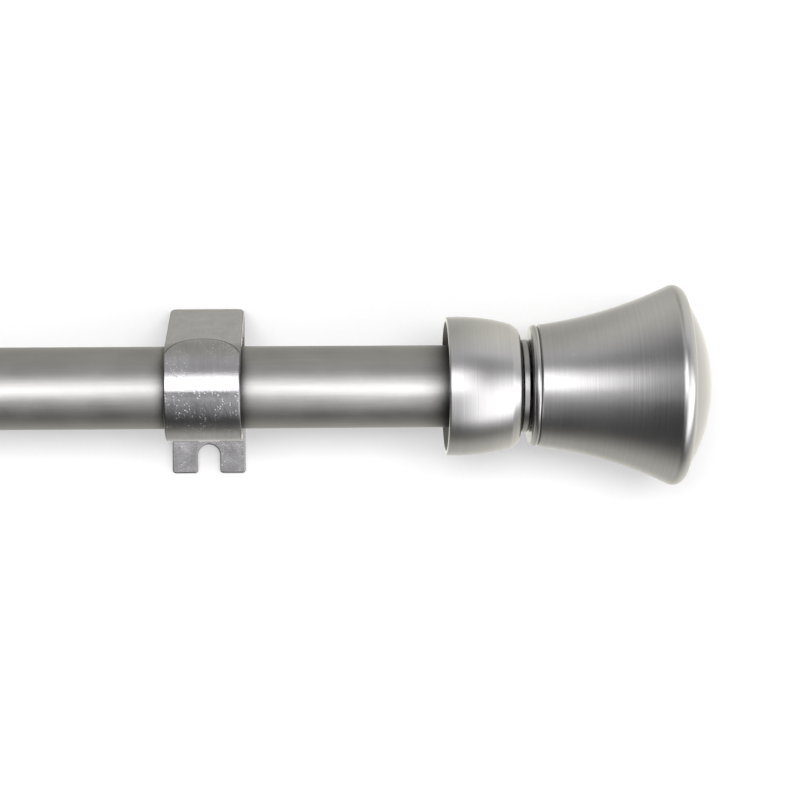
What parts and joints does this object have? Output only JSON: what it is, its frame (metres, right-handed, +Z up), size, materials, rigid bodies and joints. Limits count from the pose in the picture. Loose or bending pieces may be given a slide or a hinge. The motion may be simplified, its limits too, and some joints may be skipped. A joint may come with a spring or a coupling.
{
  "type": "curtain rod with brackets",
  "caption": "Telescoping curtain rod in satin nickel, held off the wall by bent strap brackets, with turned trumpet finials that screw onto the tube ends.",
  "frame": {"origin": "on the wall face, behind the middle of the right bracket and level with the rod's axis", "axes": "+X along the rod towards the outer tube's finial, +Y into the wall, +Z up"},
  "size_m": [0.517, 0.0506, 0.0504],
  "materials": {
    "tube_nickel": "satin nickel plating on steel tube, finely brushed round the tube",
    "finial_nickel": "satin nickel plating on turned metal, with fine turning marks",
    "strap_nickel": "satin nickel plating on bent steel strap, brighter than the tube",
    "zinc_plated_steel": "bright zinc plating",
    "grey_nylon": "moulded nylon"
  },
  "bodies": {
    "brackets": {"right_bracket_hook_strap": "strap_nickel", "right_bracket_cradle_strap": "strap_nickel", "right_bracket_liner": "grey_nylon", "right_bracket_rivet_1": "zinc_plated_steel", "right_bracket_rivet_2": "zinc_plated_steel", "left_bracket_hook_strap": "strap_nickel", "left_bracket_cradle_strap": "strap_nickel", "left_bracket_liner": "grey_nylon", "left_bracket_rivet_1": "zinc_plated_steel", "left_bracket_rivet_2": "zinc_plated_steel"},
    "rod": {"outer_tube": "tube_nickel", "right_tube_plug": "grey_nylon", "right_finial_stud": "zinc_plated_steel", "right_finial_washer": "zinc_plated_steel"},
    "right_cup": {"right_finial_cup": "finial_nickel", "right_finial_neck_ring": "finial_nickel"},
    "right_trumpet": {"right_finial_trumpet": "finial_nickel", "right_finial_end_cap": "finial_nickel"},
    "inner_rod": {"inner_tube": "tube_nickel", "inner_tube_guide": "grey_nylon", "left_tube_plug": "grey_nylon", "left_finial_stud": "zinc_plated_steel", "left_finial_washer": "zinc_plated_steel"},
    "left_cup": {"left_finial_cup": "finial_nickel", "left_finial_neck_ring": "finial_nickel"},
    "left_trumpet": {"left_finial_trumpet": "finial_nickel", "left_finial_end_cap": "finial_nickel"}
  },
  "joints": [
    {"name": "rod_shift", "type": "slide", "parent": "brackets", "child": "rod", "axis": [1, 0, 0], "range_m": [-0.015, 0.015]},
    {"name": "rod_extend", "type": "slide", "parent": "rod", "child": "inner_rod", "axis": [-1, 0, 0], "range_m": [-0.03, 0.102]},
    {"name": "right_finial_draw", "type": "slide", "parent": "rod", "child": "right_cup", "axis": [1, 0, 0], "range_m": [0, 0.01001]},
    {"name": "right_finial_turn", "type": "hinge", "parent": "right_cup", "child": "right_trumpet", "pos_m": [0.0605, -0.0254, 0], "axis": [1, 0, 0], "range_deg": [0, 3600]},
    {"name": "left_finial_draw", "type": "slide", "parent": "inner_rod", "child": "left_cup", "axis": [-1, 0, 0], "range_m": [0, 0.01001]},
    {"name": "left_finial_turn", "type": "hinge", "parent": "left_cup", "child": "left_trumpet", "pos_m": [-0.3231, -0.0254, 0], "axis": [-1, 0, 0], "range_deg": [0, 3600]}
  ],
  "couplings": [
    {"joint": "right_finial_draw", "follows": "right_finial_turn", "m_per_rad": 0.00015915},
    {"joint": "left_finial_draw", "follows": "left_finial_turn", "m_per_rad": 0.00015915}
  ]
}
